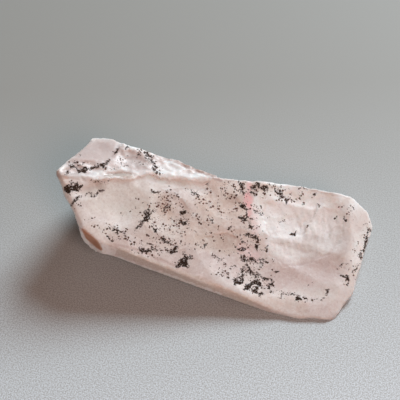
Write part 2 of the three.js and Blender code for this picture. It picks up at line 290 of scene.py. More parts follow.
# Tints
coolStrokes = {
    "bowl": (21, 0.9, (280, 213), (296, 222)),
    "bowl right": (14, 0.8, (328, 208), (334, 236)),
    "bowl low": (9, 0.7, (276, 246), (300, 252), (322, 246)),
    "top right": (9, 1.0, (285, 194), (345, 206)),
    "shoulder": (10, 0.35, (352, 208), (362, 226)),
    "right side": (9, 0.45, (360, 236), (346, 282)),
    "under ledge": (4, 0.6, (150, 179), (172, 184), (208, 187)),
    "glassy hollow": (14, 0.2, (100, 200), (146, 204)),
}
pinkStrokes = {
    "hollow": (15, 0.8, (280, 275), (332, 272)),
    "mauve facet": (9, 1.0, (84, 154), (114, 148)),
    "band": (12, 0.9, (76, 162), (170, 164)),
    "middle": (13, 0.5, (196, 246), (232, 262)),
    "corner": (9, 0.6, (312, 306), (332, 312)),
    "front": (10, 0.6, (120, 252), (200, 280)),
    "below streak": (5, 0.6, (240, 248), (258, 254)),
}
rustStrokes = {
    "rust patch": (8, 0.75, (163, 203), (166, 214)),
    "rust right": (12, 0.6, (206, 204), (234, 208)),
    "middle": (22, 0.38, (158, 224), (232, 228)),
    "below ledge": (9, 0.3, (205, 190), (240, 190)),
    "shoulder": (8, 0.25, (364, 222), (356, 262)),
    "toe": (8, 0.35, (262, 300), (300, 308)),
    "tip": (4, 0.5, (62, 168), (66, 186)),
    "front edge": (7, 0.15, (90, 228), (130, 244)),
    "streak top": (4, 0.5, (252, 186), (264, 187)),
}
streakStrokes = {
    "top": (1.7, 0.55, (249, 182), (249, 197)),
    "middle": (4.2, 1.0, (248, 198), (248, 203)),
    "end": (2.2, 0.85, (249.5, 204), (250, 214)),
    "below": (4.5, 0.3, (253, 212), (256, 230)),
    "foot": (6, 0.3, (243, 247), (254, 256)),
}

# The window at the left corner, as its outline on the photo: painted shadow, the brown of the shade seen
# through the stone
windowShadowOutline = ((80.6, 228.3), (84.4, 229.1), (97.4, 240.6), (102.7, 249), (101.2, 250.9),
                 (95.9, 247.4), (85.9, 238.3))

# The front strip, as its outline on the photo; painted shade darkens it, as it faces away from the light
stripOutline = ((106, 240), (147, 252.6), (200, 277), (250, 300), (286, 316), (106, 252))


# The strongest of a set of strokes at each point, with soft edges
def strokeField(strokes, across, down, softness):
    field = np.zeros(len(across))
    for halfWidth, strength, *points in strokes.values():
        for start, end in zip(points, points[1:]):
            run = np.subtract(end, start).astype(float)
            offset = np.stack((across - start[0], down - start[1]), 1)
            share = np.clip(offset @ run / (run @ run), 0, 1)
            distance = np.linalg.norm(offset - share[:, None] * run, axis=1) / halfWidth
            fall = np.clip((1 + softness / 2 - distance) / softness, 0, 1)
            field = np.maximum(field, strength * fall * fall * (3 - 2 * fall))
    return field


# 1 inside a convex outline given clockwise on the photo, with an edge about a pixel wide
def insideOutline(outline, across, down):
    inside = np.full(len(across), np.inf)
    for start, end in zip(outline, outline[1:] + outline[:1]):
        run = np.subtract(end, start) / math.dist(start, end)
        inside = np.minimum(inside, run[0] * (down - start[1]) - run[1] * (across - start[0]))
    return np.clip(inside + 0.5, 0, 1)


# The stone

stoneShape = {
    "voxel": 0.172 * mm,
    "smoothing": 1,
    "smoothingShare": 0.5,
    "calming": 34,  # smoothing steps where the solid's scoops are sharper than the photo's
    "lipSmoothing": 160,
    "swell": 0.09 * mm,  # makes up for what the flakes take
    "tableHeights": (0.1 * mm, 0.5 * mm),  # the relief grows from none to full between these
    "facing": (0.05, 0.25),  # how squarely a place faces the camera: hidden below, shown above
    "plainShare": 0.85,  # of the skin's relief, gone from plain faces
    "frostBroken": 0.35,  # how broken the frosted places and the hidden sides are
    "hiddenBroken": 0.5,
    "creaseAngle": 30,
    # fine relief: texture, its grain size, its height, and the vertex group it is laid on
    "relief": (
        ("waviness", "CLOUDS", 2.6 * mm, 0.07 * mm, "rough"),
        ("chips", "VORONOI", 1.2 * mm, 0.24 * mm, "broken"),
        ("hackle", "CLOUDS", 0.45 * mm, 0.10 * mm, "broken"),
        ("skin", "CLOUDS", 0.35 * mm, 0.03 * mm, "rough"),
    ),
}

# Shell-shaped flakes gone from the stone, as they stand in the photo: the middle,
# half the length and half the width in pixels, the turn of the long axis in degrees, and the depth
shownFlakes = {
    "left bowl": ((288, 219), (27, 26), 0, 0.24 * mm),
    "right bowl": ((328, 226), (33, 19), 82, 0.18 * mm),
    "low bowl": ((300, 238), (42, 27), -5, 0.12 * mm),
    "pink hollow": ((305, 281), (40, 21), -6, 0.16 * mm),
    "lens": ((119, 174), (16, 4.2), -8, 0.08 * mm),
    "glassy hollow": ((122, 206), (40, 20), 8, 0.14 * mm),
    "arc flake": ((163, 212), (25, 23), 30, 0.08 * mm),
    "ledge hollow": ((170, 180), (26, 7), 8, 0.05 * mm),
    "middle hollow": ((214, 249), (28, 15), 12, 0.10 * mm),
    "middle top": ((222, 208), (26, 16), 0, 0.08 * mm),
    "below streak": ((252, 246), (14, 10), 20, 0.10 * mm),
    "low left": ((236, 272), (22, 14), 20, 0.08 * mm),
    "shoulder": ((358, 235), (28, 10), 100, 0.10 * mm),
    "band hollow": ((128, 160), (20, 10), 12, 0.16 * mm),
    "band left": ((86, 167), (16, 7), -10, 0.14 * mm),
    "white wedge": ((187, 170), (22, 5.5), 18, 0.14 * mm),
    "below tip": ((84, 188), (18, 7), -14, 0.12 * mm),
}

# Low steps with sharp edges: depth, how many pixels the ground takes to rise again, how white the lip is,
# and the points of the edge on the photo, with the lower ground on the right hand
shownSteps = {
    "ledge": (0.14 * mm, 26, 1.0, (88, 182), (93, 179.5), (99, 180), (110, 178.5), (120, 178.5),
              (130, 179.5), (140, 176), (147, 174.5), (153, 174), (160, 178), (174, 179.5), (187, 180),
              (202, 181.5), (211, 180)),
    "crack": (0.08 * mm, 5, 1.0, (72, 171), (77, 173.5), (83, 177), (88, 182)),
    "lens": (0.10 * mm, 5, 0.9, (91, 176), (100, 173.5), (109, 172), (121, 171), (132, 172), (139, 174.5)),
    "wedge top": (0.10 * mm, 6, 0.9, (212, 180), (209, 175.5), (203, 174), (190, 173.5), (186, 171),
                  (181, 166), (172, 161), (162, 159)),
    "arc flake": (0.10 * mm, 12, 0.9, (158, 188), (170, 190.5), (180, 197), (189, 208)),
    "facet edge": (0.05 * mm, 9, 0.3, (70, 160), (82, 165), (98, 165), (108, 160)),
    "bowl left": (0.12 * mm, 12, 0.4, (271, 241), (266, 228), (262.5, 215), (263, 206), (271, 199)),
    "bowl arc": (0.14 * mm, 10, 0.2, (317, 202), (316.5, 212), (311, 222), (304, 231), (302, 239)),
    "bowl step": (0.025 * mm, 6, 0.6, (271, 241), (285, 243), (291, 246), (305, 250), (319, 249)),
    "bowl rim": (0.05 * mm, 9, 0.25, (343, 240), (330, 254), (313, 262.5), (300, 266), (285, 267),
                 (276, 261), (266, 254)),
    "middle": (0.07 * mm, 9, 0.6, (202, 237), (214, 233.5), (226, 232.5), (241, 238)),
    "dash": (0.07 * mm, 4, 1.0, (237, 244.5), (246, 247.5), (256, 251.5)),
    "strip edge": (0.05 * mm, 6, 0.1, (104, 241), (125, 246.5), (147, 253), (200, 277), (246, 298),
                   (272, 310)),
    "ridge": (0.08 * mm, 9, 0.5, (176, 188), (186, 186.5), (200, 188), (214, 187)),
}

# The section across a step, in pixels from its edge towards the lower ground
stepSection = {
    "edge": (-0.6, 0.9),
    "levelShare": 0.3,  # of the reach, before the ground starts to rise again
    "lip": ((-2.8, -1.2), (-0.2, 0.8)),  # where its whiteness comes and goes
    # where the painted shade at a step's foot comes and goes
    "foot": ((0, 0.8), (1.2, 3.0)),
    "taper": 6,  # pixels from each end of the edge
    "jaggedness": 1.6,  # pixels
    "jaggedGrain": 0.7 * mm,
    "jaggedShifts": (41.0, 43.0),
}

# Small shifts that bring the outline to the photo's: half width, the shift to the right and down
# at its middle, both in pixels, and the points along it
outlineShifts = {
    "corner": (6, (-1.5, 1.2), (82, 236), (88, 247), (100, 251)),
    "left edge": (5, (-1.0, 0.3), (65, 196), (69, 208)),
    "band back": (9, (0.6, -2.2), (112, 141), (135, 146), (150, 151)),
    "band notch": (6, (1.0, -2.2), (179, 164), (187, 168)),
    "band end": (5, (0.8, -1.0), (200, 172), (214, 177)),
    "back edge": (7, (0.2, -1.8), (262, 182), (300, 189)),
    "back edge right": (6, (0.2, -1.8), (316, 191), (338, 196)),
}

# Places for one kind of relief or smoothing each
calmStrokes = {
    "shoulder": (9, 0.8, (346, 204), (364, 222)),
    "ledge": (8, 1.0, (126, 182), (150, 181)),
    "facet side": (8, 1.0, (121, 142), (112, 160)),
    "glassy hollow": (9, 0.8, (100, 190), (140, 192)),
    "low hollow": (14, 0.9, (225, 280), (262, 290), (300, 288), (340, 268)),
}
lipStrokes = {  # where the solid's scoop leaves a lip that the photo doesn't show
    "ledge": (9, 1.0, (150, 184), (178, 188), (214, 191)),
}
bandStrokes = {
    "band": (7, 1.0, (70, 168), (150, 166), (205, 174)),
    "band back": (8, 1.0, (125, 152), (165, 163)),
}
plainStrokes = {  # grown or cleaved faces, which keep a smooth skin
    "strip": (5.5, 1.0, (92, 241), (122, 255), (176, 273), (240, 300), (282, 316)),
    "mauve facet": (9, 0.9, (86, 152), (110, 149)),
    "lens": (3.5, 0.9, (106, 176), (132, 173)),
    "back sliver": (4, 0.8, (176, 161), (216, 177)),
    "glassy hollow": (12, 0.6, (104, 202), (140, 204)),
    "pink hollow": (10, 0.7, (284, 278), (328, 276)),
}
wrinkleStrokes = {
    "bowl": (14, 1.0, (306, 226), (332, 228)),
    "low": (6, 0.7, (272, 246), (330, 248)),
}
wrinkles = {
    "size": (2.8, 14.0),  # pixels across and along them
    "height": 0.09 * mm,
    "straying": 3.0,  # pixels
    "strayGrain": 2.0 * mm,
    "strayShift": 17.0,
}

# More flakes, strewn over each zone of the surface: how many, their reach, their depth,
# and how much lighter or darker they may be
strewnFlakes = {
    "band": {"count": 200, "reach": (0.5 * mm, 2.0 * mm), "depth": (0.08 * mm, 0.28 * mm),
             "contrast": 1.0, "seed": 5},
    "shown": {"count": 130, "reach": (0.7 * mm, 2.6 * mm), "depth": (0.02 * mm, 0.07 * mm),
              "contrast": 0.6, "seed": 9},
    "hidden": {"count": 260, "reach": (0.8 * mm, 3.8 * mm), "depth": (0.04 * mm, 0.24 * mm),
               "contrast": 0.9, "seed": 3},
}
strewnShape = {
    "fullDepthReach": 1.5 * mm,  # smaller flakes are shallower
    "stretch": 0.45,  # taken off the distance along a flake's grain
    "turnLimit": 0.4,  # cosine to the face that a flake is struck from
}


def selectOnly(piece):
    bpy.ops.object.select_all(action="DESELECT")
    piece.select_set(True)
    bpy.context.view_layer.objects.active = piece


def copyOfNode(nodeName, pieceName):
    piece = bpy.data.objects.new(pieceName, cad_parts[nodeName].data.copy())
    bpy.context.scene.collection.objects.link(piece)
    piece.data.materials.clear()
    selectOnly(piece)
    bpy.ops.object.mode_set(mode="EDIT")
    bpy.ops.mesh.select_all(action="SELECT")
    bpy.ops.mesh.remove_doubles(threshold=0.001 * mm)
    bpy.ops.object.mode_set(mode="OBJECT")
    return piece


def applyModifier(piece, kind, **settings):
    modifier = piece.modifiers.new(kind.title(), kind)
    for name, value in settings.items():
        setattr(modifier, name, value)
    selectOnly(piece)
    bpy.ops.object.modifier_apply(modifier=modifier.name)


def smoothPiece(piece, rounds, **settings):
    applyModifier(piece, "SMOOTH", factor=stoneShape["smoothingShare"], iterations=rounds, **settings)


def placesAndNormals(piece):
    mesh = piece.data
    places = np.empty(len(mesh.vertices) * 3, np.float32)
    normals = np.empty(len(mesh.vertices) * 3, np.float32)
    mesh.vertices.foreach_get("co", places)
    mesh.vertex_normals.foreach_get("vector", normals)
    return places.reshape(-1, 3).astype(float), normals.reshape(-1, 3).astype(float)


def noiseAt(places, grain, octaves=3, shift=0.0):
    offset = Vector((shift, -shift, 2 * shift))
    return np.array([noise.fractal(Vector(p) / grain + offset, 1.0, 2.0, octaves) for p in places])


def smoothStep(low, high, values):
    share = np.clip((values - low) / (high - low), 0, 1)
    return share * share * (3 - 2 * share)


# A vertex group with its weights rounded to a few levels
def setGroup(piece, groupName, weights, levels=20):
    group = piece.vertex_groups.new(name=groupName)
    for level in range(1, levels + 1):
        members = np.nonzero(np.round(weights * levels).astype(int) == level)[0]
        if len(members):
            group.add(members.tolist(), level / levels, "REPLACE")


def setAttribute(piece, attributeName, values):
    attribute = piece.data.attributes.new(attributeName, "FLOAT", "POINT")
    attribute.data.foreach_set("value", np.clip(values, 0, 1).astype(np.float32))


def flakesOnPhoto(across, down):
    gone = np.zeros(len(across))
    for middle, reach, turn, deepest in shownFlakes.values():
        turned = math.radians(turn)
        right, low = across - middle[0], down - middle[1]
        along = (right * math.cos(turned) + low * math.sin(turned)) / reach[0]
        beside = (low * math.cos(turned) - right * math.sin(turned)) / reach[1]
        gone = np.maximum(gone, deepest * (1 - along ** 2 - beside ** 2))
    return gone


def comeAndGo(values, coming, going):
    return smoothStep(*coming, values) * (1 - smoothStep(*going, values))


# What the steps take off, their white lips, and the painted shade along their feet
def stepsOnPhoto(across, down):
    section = stepSection
    gone, lips, footShades = np.zeros(len(across)), np.zeros(len(across)), np.zeros(len(across))
    for depth, reach, whiteness, *points in shownSteps.values():
        nearest = np.full(len(across), np.inf)
        below, along = np.zeros(len(across)), np.zeros(len(across))
        passed = 0.0
        for start, end in zip(points, points[1:]):
            run = np.subtract(end, start).astype(float)
            offset = np.stack((across - start[0], down - start[1]), 1)
            share = np.clip(offset @ run / (run @ run), 0, 1)
            distance = np.linalg.norm(offset - share[:, None] * run, axis=1)
            side = np.sign(run[0] * offset[:, 1] - run[1] * offset[:, 0])
            closer = distance < nearest
            below = np.where(closer, side * distance, below)
            along = np.where(closer, passed + share * math.dist(start, end), along)
            nearest = np.minimum(nearest, distance)
            passed += math.dist(start, end)
        taper = smoothStep(0, section["taper"], along) * smoothStep(0, section["taper"], passed - along)
        rising = smoothStep(section["levelShare"] * reach, reach, below)
        gone = np.maximum(gone, depth * taper * smoothStep(*section["edge"], below) * (1 - rising))
        lips = np.maximum(lips, whiteness * taper * comeAndGo(below, *section["lip"]))
        footShades = np.maximum(footShades, taper * comeAndGo(below, *section["foot"]))
    return gone, lips, footShades


def shiftOutline(places, across, down):
    right, up = (np.array(axis) for axis in cameraAxes()[:2])
    pixelMm = photoCamera["sensorMm"] / photoCamera["imagePx"]
    pixel = photoCamera["distance"] * pixelMm / photoCamera["lensMm"]
    for halfWidth, (toRight, toLow), *points in outlineShifts.values():
        share = strokeField({"shift": (halfWidth, 1.0, *points)}, across, down, softness=1.8)
        places = places + share[:, None] * pixel * (toRight * right - toLow * up)
    return places


# What strewn flakes have taken off, and a tone for the facet that each of them left
def flakesStrewn(places, normals, zone, settings):
    gone = np.zeros(len(places))
    tone = np.full(len(places), 0.5)
    generator = np.random.default_rng(settings["seed"])
    for middle in generator.choice(np.nonzero(zone > 0.5)[0], settings["count"]):
        reach = generator.uniform(*settings["reach"])
        deepest = generator.uniform(*settings["depth"]) * min(1, reach / strewnShape["fullDepthReach"])
        grain = np.cross(normals[middle], generator.normal(size=3))
        grain /= np.linalg.norm(grain)
        away = places - places[middle]
        away -= strewnShape["stretch"] * (away @ grain)[:, None] * grain
        distance = np.linalg.norm(away, axis=1) / reach
        struck = normals @ normals[middle] > strewnShape["turnLimit"]
        taken = struck * deepest * (1 - distance ** 2)
        tone[taken > gone] = generator.uniform(0, 1)
        gone = np.maximum(gone, taken)
    return gone * zone, (tone - 0.5) * zone


# Where the photo shows the rough band, the rest of what it shows, and what it doesn't show
def surfaceZones(across, down, facing):
    shown = smoothStep(*stoneShape["facing"], facing)
    band = shown * strokeField(bandStrokes, across, down, softness=1.1)
    return {"band": band, "shown": shown * (1 - band), "hidden": 1 - shown}


# Smooths the solid's scoops where the photo's are softer
def calmScoops(piece):
    places, normals = placesAndNormals(piece)
    across, down, facing = seenOnPhoto(places, normals)
    shown = smoothStep(*stoneShape["facing"], facing)
    setGroup(piece, "calm", shown * strokeField(calmStrokes, across, down, softness=1.0))
    setGroup(piece, "lip", shown * strokeField(lipStrokes, across, down, softness=0.9))
    smoothPiece(piece, stoneShape["calming"], vertex_group="calm")
    smoothPiece(piece, stoneShape["lipSmoothing"], vertex_group="lip")


# Fine wrinkles that run down the photo's bowl, as heights
def wrinklesAt(places, across, down):
    astray = wrinkles["straying"] * noiseAt(places, wrinkles["strayGrain"], 2, wrinkles["strayShift"])
    wide, long = wrinkles["size"]
    onPhoto = np.stack(((across + astray) / wide, (down + astray) / long, np.zeros(len(across))), 1)
    wrinkled = strokeField(wrinkleStrokes, across, down, softness=0.8)
    return wrinkled * wrinkles["height"] * noiseAt(onPhoto, 1, 3)


# Takes off the flakes, steps and wrinkles and moves the outline, and leaves what is known of each
# place for the fine relief, the stains and the painted shade
def carveStone(piece):
    places, normals = placesAndNormals(piece)
    across, down, facing = seenOnPhoto(places, normals)
    offTable = smoothStep(*stoneShape["tableHeights"], places[:, 2])
    zones = surfaceZones(across, down, facing)
    seen = 1 - zones["hidden"]
    jagged = [stepSection["jaggedness"] * noiseAt(places, stepSection["jaggedGrain"], 4, shift)
              for shift in stepSection["jaggedShifts"]]
    stepped, lips, footShades = stepsOnPhoto(across + jagged[0], down + jagged[1])
    gone = seen * flakesOnPhoto(across, down) + seen * stepped
    tones = np.full(len(places), 0.5)
    for name, settings in strewnFlakes.items():
        taken, tone = flakesStrewn(places, normals, zones[name], settings)
        gone += taken
        tones += tone * settings["contrast"]
    gone += zones["shown"] * wrinklesAt(places, across, down)
    moved = shiftOutline(places, across, down) * offTable[:, None] + places * (1 - offTable[:, None])
    moved += normals * ((stoneShape["swell"] - gone) * offTable)[:, None]
    piece.data.vertices.foreach_set("co", moved.astype(np.float32).ravel())
    plain = zones["shown"] * strokeField(plainStrokes, across, down, softness=0.8)
    frosted = zones["shown"] * strokeField(frostAndHighlightStrokes, across, down, softness=0.9)
    partly = stoneShape["frostBroken"] * frosted + stoneShape["hiddenBroken"] * zones["hidden"]
    setGroup(piece, "rough", offTable * (1 - stoneShape["plainShare"] * plain))
    setGroup(piece, "broken", offTable * np.maximum(zones["band"], partly) * (1 - plain))
    setAttribute(piece, "lips", seen * lips)
    setAttribute(piece, "footShades", seen * footShades)
    setAttribute(piece, "tones", 0.5 + (tones - 0.5) * (1 - plain))


def addFineRelief(piece):
    for name, kind, grain, height, group in stoneShape["relief"]:
        texture = bpy.data.textures.new(name, kind)
        texture.noise_scale = grain
        applyModifier(piece, "DISPLACE", texture=texture, strength=height, mid_level=0.5,
                      texture_coords="LOCAL", vertex_group=group)


def keepOnTable(piece):
    for vertex in piece.data.vertices:
        vertex.co.z = max(vertex.co.z, 0.0)


def shapeStone():
    piece = copyOfNode("morganite_crystal", "morganiteStone")
    applyModifier(piece, "REMESH", mode="VOXEL", voxel_size=stoneShape["voxel"])
    smoothPiece(piece, stoneShape["smoothing"])
    calmScoops(piece)
    carveStone(piece)
    addFineRelief(piece)
    keepOnTable(piece)
    selectOnly(piece)
    bpy.ops.object.shade_smooth_by_angle(angle=math.radians(stoneShape["creaseAngle"]))
    print("stone shaped:", len(piece.data.polygons), "faces")
    return piece


# The stains, the painted shade and the painted highlights: for each of them its strokes and how soft their
# edges are
stainsAndShade = {
    "blots": (blotStrokes, 1.3),
    "grains": (grainStrokes, 1.0),
    "frost": (frostAndHighlightStrokes, 0.7),
    "clear": (clearStrokes, 0.8),
    "shadeAndDimTone": (paintedShadeStrokes, 0.8),
    "cool": (coolStrokes, 1.0),
    "pink": (pinkStrokes, 1.2),
    "rust": (rustStrokes, 1.2),
    "streak": (streakStrokes, 1.1),
}

# More of them, scattered over the sides that the photo doesn't show: strength, how many, their reach
scatteredStains = {
    "blots": (1.0, 60, (0.5 * mm, 1.6 * mm)),
    "grains": (0.8, 60, (1.5 * mm, 4 * mm)),
    "frost": (0.5, 20, (2 * mm, 5 * mm)),
    "clear": (0.6, 12, (2 * mm, 5 * mm)),
    "pink": (0.5, 20, (3 * mm, 6 * mm)),
    "rust": (0.5, 8, (2 * mm, 4 * mm)),
}
staining = {
    "facing": (0.02, 0.15),  # how squarely a place faces the camera to take the photo's stains
    "edgeGrain": 0.8 * mm,
    "edgeShifts": (11.0, 23.0),
    "straying": 1.4,  # how far a stain's edge strays, in pixels
    "fraying": 3.2,  # the same for the dark ones
    "frayed": ("blots", "grains"),
    "clumpGrain": 0.9 * mm,
    "clumpShift": 31.0,
    "clumpNoise": (-0.3, 0.4),
    "clumps": (0.45, 1.55),  # how much thinner and thicker the grains lie in places
    "rimShadeSoftness": 0.8,
    "hiddenPink": 0.55,
    "patchStretch": (0.5, 1.6),  # of the scattered stains, along each axis
    "patchStrength": (0.5, 1.0),
    "patchFall": 1.6,
    "crestRounds": 2,  # how many rings of neighbours a crest is measured against
    "crestRange": (0.06, 0.22),
    "seed": 7,
}


# Patches as stretched balls around points of the surface
def scatterField(places, hidden, count, sizes, generator):
    field = np.zeros(len(places))
    candidates = np.nonzero(hidden)[0]
    for middle in generator.choice(candidates, count):
        size = generator.uniform(*sizes)
        stretch = generator.uniform(*staining["patchStretch"], 3)
        distance = np.linalg.norm((places - places[middle]) / stretch, axis=1) / size
        strength = generator.uniform(*staining["patchStrength"])
        field = np.maximum(field, strength * np.clip(staining["patchFall"] * (1 - distance), 0, 1))
    return field * hidden


# How far each point of the mesh stands out from its neighbours: crests are above 0, grooves below
def crestsOf(piece, places, normals):
    mesh = piece.data
    ends = np.empty(len(mesh.edges) * 2, np.int32)
    mesh.edges.foreach_get("vertices", ends)
    ends = ends.reshape(-1, 2)
    standing = np.zeros(len(places))
    for ring in range(staining["crestRounds"]):
        around = np.zeros_like(places)
        number = np.zeros(len(places))
        for here, there in ((0, 1), (1, 0)):
            np.add.at(around, ends[:, here], places[ends[:, there]])
            np.add.at(number, ends[:, here], 1)
        average = around / number[:, None]
        standing += ((places - average) * normals).sum(1)
        places = average
    return standing / stoneShape["voxel"]


def stainAndShadeStone(piece):
    places, normals = placesAndNormals(piece)
    across, down, facing = seenOnPhoto(places, normals)
    shown = smoothStep(*staining["facing"], facing)
    hidden = shown < 0.5
    setAttribute(piece, "crests", smoothStep(*staining["crestRange"], crestsOf(piece, places, normals)))
    setAttribute(piece, "windowShadow", shown * insideOutline(windowShadowOutline, across, down))
    sideways, lengthways = (noiseAt(places, staining["edgeGrain"], 4, shift)
                            for shift in staining["edgeShifts"])
    stray = staining["straying"]
    strayed = across + stray * sideways, down + stray * lengthways
    setAttribute(piece, "strip", shown * insideOutline(stripOutline, *strayed))
    fray = staining["fraying"]
    frayed = across + fray * sideways, down + fray * lengthways
    fields = {}
    for name, (strokes, softness) in stainsAndShade.items():
        where = frayed if name in staining["frayed"] else strayed
        fields[name] = shown * strokeField(strokes, *where, softness)
    thin, thick = staining["clumps"]
    clumpNoise = noiseAt(places, staining["clumpGrain"], 3, staining["clumpShift"])
    fields["grains"] *= thin + (thick - thin) * smoothStep(*staining["clumpNoise"], clumpNoise)
    # painted shade along the far rim, laid with the other painted shade
    fields["shadeAndDimTone"] = np.maximum(fields["shadeAndDimTone"], strokeField(rimShadeStrokes, *strayed, staining["rimShadeSoftness"]))
    fields["pink"] += staining["hiddenPink"] * hidden
    generator = np.random.default_rng(staining["seed"])
    for name, (strength, count, sizes) in scatteredStains.items():
        fields[name] += strength * scatterField(places, hidden, count, sizes, generator)
    for name, field in fields.items():
        setAttribute(piece, name, field)
    print("stains laid on")


# The stone's material

stoneColours = {  # linear values
    "milky": (0.87, 0.875, 0.84),
    "frost": (0.945, 0.955, 0.955),
    "clear": (0.74, 0.705, 0.64),
    "pink": (0.78, 0.705, 0.695),
    "cool": (0.97, 1.0, 1.0),
    "rust": (0.72, 0.55, 0.44),
    "streak": (0.94, 0.55, 0.57),
    # a dim colour: painted shade where the shade strokes, the front strip, the far rim and the step feet lay
    # it, and a darker tone at random in the sugar and the flake tones
    "shadeAndDimTone": (0.46, 0.35, 0.32),
    # painted shadow: the shade beneath, seen through the clear corner facet
    "windowShadow": (0.50, 0.265, 0.165),
    "grain": (0.022, 0.008, 0.003),
    "fineGrain": (0.060, 0.024, 0.012),
    "rustyGrain": (0.13, 0.035, 0.020),
    "grainHalo": (0.24, 0.13, 0.085),
}

# Noises that the colours are broken up with
stoneNoises = {
    "clouds": {"grain": 5 * mm, "detail": 2.0},
    "patches": {"grain": 1.3 * mm, "detail": 4.0, "distortion": 0.6},
    "sugar": {"grain": 0.36 * mm, "detail": 3.0, "distortion": 0.5, "roughness": 0.7},
}

# Shares of the colours laid over each other, most of them as a range of a noise or an attribute
# and the shares at the range's two ends
stoneShares = {
    "crests": 0.42,
    "lips": 0.75,
    "frosted": (0.15, 0.85),
    "rustInPatches": (0.3, 0.7, 0.3, 1.0),
    # how dark the painted shade on the front strip is
    "strip": 0.16,
    "sugarFrost": (0.52, 0.66, 0.0, 0.5),
    "sugarDeep": (0.47, 0.34, 0.0, 0.3),
    "toneFrost": (0.5, 1.0, 0.0, 0.35),
    "toneDeep": (0.5, 0.0, 0.0, 0.45),
    # how dark the painted shade at the feet of the steps is
    "footShades": 0.16,
    "streakInSugar": (0.38, 0.58, 0.35, 1.0),
    "haloAtBlots": (0.4, 1.0),
    "haloInPatches": (0.4, 0.6),
    "halo": 0.5,
}
darkGrains = {
    "dotSpacing": 0.35 * mm,
    "dotShare": 0.7,
    "dotSizes": (0.0, 0.3, 0.0, 0.5),  # in spacings, from the share that is wanted
    "dotEdge": 0.08,
    "dotStraying": 0.3 * mm,
    "fineSpecks": (0.28 * mm, 0.74, 0.58),  # size, and the noise's limits for no specks and for most
    "coarseSpecks": (0.27 * mm, 0.72, 0.41),
    "fineAmongCoarse": 0.2,
    "speckNoise": {"detail": 5.0, "distortion": 0.4, "roughness": 0.72},
    "speckEdge": 0.02,
}
stoneFinish = {
    "IOR": 1.58,
    "Specular IOR Level": 0.14,
    "Transmission Weight": 0.36,
    "Subsurface Weight": 0.6,
    "Subsurface Scale": 1.5 * mm,
    "Subsurface Radius": (1.0, 0.84, 0.78),
}
stoneSkin = {
    "roughness": (0.38, 0.52),  # plain and frosted
    "clearSmoother": 0.14,
    "bump": {"Strength": 0.35, "Distance": 0.03 * mm},
    "bumpNoise": {"grain": 0.22 * mm, "detail": 3.0},
}


class MaterialNodes:
    def __init__(self, name):
        self.material = bpy.data.materials.new(name)
        self.material.use_nodes = True
        self.tree = self.material.node_tree
        self.shader = self.tree.nodes["Principled BSDF"]
        self.places = self.tree.nodes.new("ShaderNodeTexCoord").outputs["Object"]

    def join(self, source, target):
        if hasattr(source, "is_linked"):
            self.tree.links.new(source, target)
        else:
            target.default_value = source

    def attribute(self, name):
        node = self.tree.nodes.new("ShaderNodeAttribute")
        node.attribute_name = name
        return node.outputs["Fac"]

    def noise(self, grain, detail, distortion=0.0, roughness=0.5):
        node = self.tree.nodes.new("ShaderNodeTexNoise")
        node.inputs["Scale"].default_value = 1 / grain
        node.inputs["Roughness"].default_value = roughness
        node.inputs["Detail"].default_value = detail
        node.inputs["Distortion"].default_value = distortion
        self.join(self.places, node.inputs["Vector"])
        return node.outputs["Fac"]

    def cells(self, grain, places):
        node = self.tree.nodes.new("ShaderNodeTexVoronoi")
        node.inputs["Scale"].default_value = 1 / grain
        self.join(places, node.inputs["Vector"])
        return node.outputs["Distance"], node.outputs["Color"]

    def math(self, kind, first, second):
        node = self.tree.nodes.new("ShaderNodeMath")
        node.operation = kind
        self.join(first, node.inputs[0])
        self.join(second, node.inputs[1])
        return node.outputs[0]

    def times(self, first, second):
        return self.math("MULTIPLY", first, second)

    def rangeOf(self, value, low, high, toLow=0.0, toHigh=1.0):
        node = self.tree.nodes.new("ShaderNodeMapRange")
        for source, name in ((value, "Value"), (low, "From Min"), (high, "From Max"),
                             (toLow, "To Min"), (toHigh, "To Max")):
            self.join(source, node.inputs[name])
        return node.outputs[0]

    def mix(self, share, first, second):
        node = self.tree.nodes.new("ShaderNodeMix")
        node.data_type = "RGBA"
        for source, index in ((share, 0), (first, 6), (second, 7)):
            if isinstance(source, tuple):
                source = (*source, 1.0)
            self.join(source, node.inputs[index])
        return node.outputs[2]

    # The places, moved about by a noise
    def wander(self, grain, reach):
        node = self.tree.nodes.new("ShaderNodeTexNoise")
        node.inputs["Scale"].default_value = 1 / grain
        self.join(self.places, node.inputs["Vector"])
        moved = self.tree.nodes.new("ShaderNodeVectorMath")
        moved.operation = "MULTIPLY_ADD"
        self.join(node.outputs["Color"], moved.inputs[0])
        moved.inputs[1].default_value = (reach, reach, reach)
        self.join(self.places, moved.inputs[2])
        return moved.outputs[0]


# Dark where a broken-up noise passes a limit that falls as the share wanted there rises
def speckMask(nodes, share, grain, sparse, full):
    speckle = nodes.noise(grain, **darkGrains["speckNoise"])
    limit = nodes.rangeOf(share, 0.0, 1.0, sparse, full)
    return nodes.rangeOf(nodes.math("SUBTRACT", speckle, limit), 0.0, darkGrains["speckEdge"])


# Separate small dots, more of them and larger ones where a greater share is wanted
def dotMask(nodes, share):
    strayed = nodes.wander(darkGrains["dotStraying"], darkGrains["dotStraying"])
    distance, chance = nodes.cells(darkGrains["dotSpacing"], strayed)
    wanted = nodes.math("SUBTRACT", nodes.times(share, darkGrains["dotShare"]), chance)
    reach = nodes.rangeOf(wanted, *darkGrains["dotSizes"])
    return nodes.rangeOf(nodes.math("SUBTRACT", reach, distance), 0.0, darkGrains["dotEdge"])


def grainMasks(nodes, blots):
    grains = nodes.attribute("grains")
    specks = speckMask(nodes, grains, *darkGrains["fineSpecks"])
    fine = nodes.math("MAXIMUM", dotMask(nodes, grains), specks)
    crowded = nodes.math("ADD", blots, nodes.times(grains, darkGrains["fineAmongCoarse"]))
    return fine, speckMask(nodes, crowded, *darkGrains["coarseSpecks"])


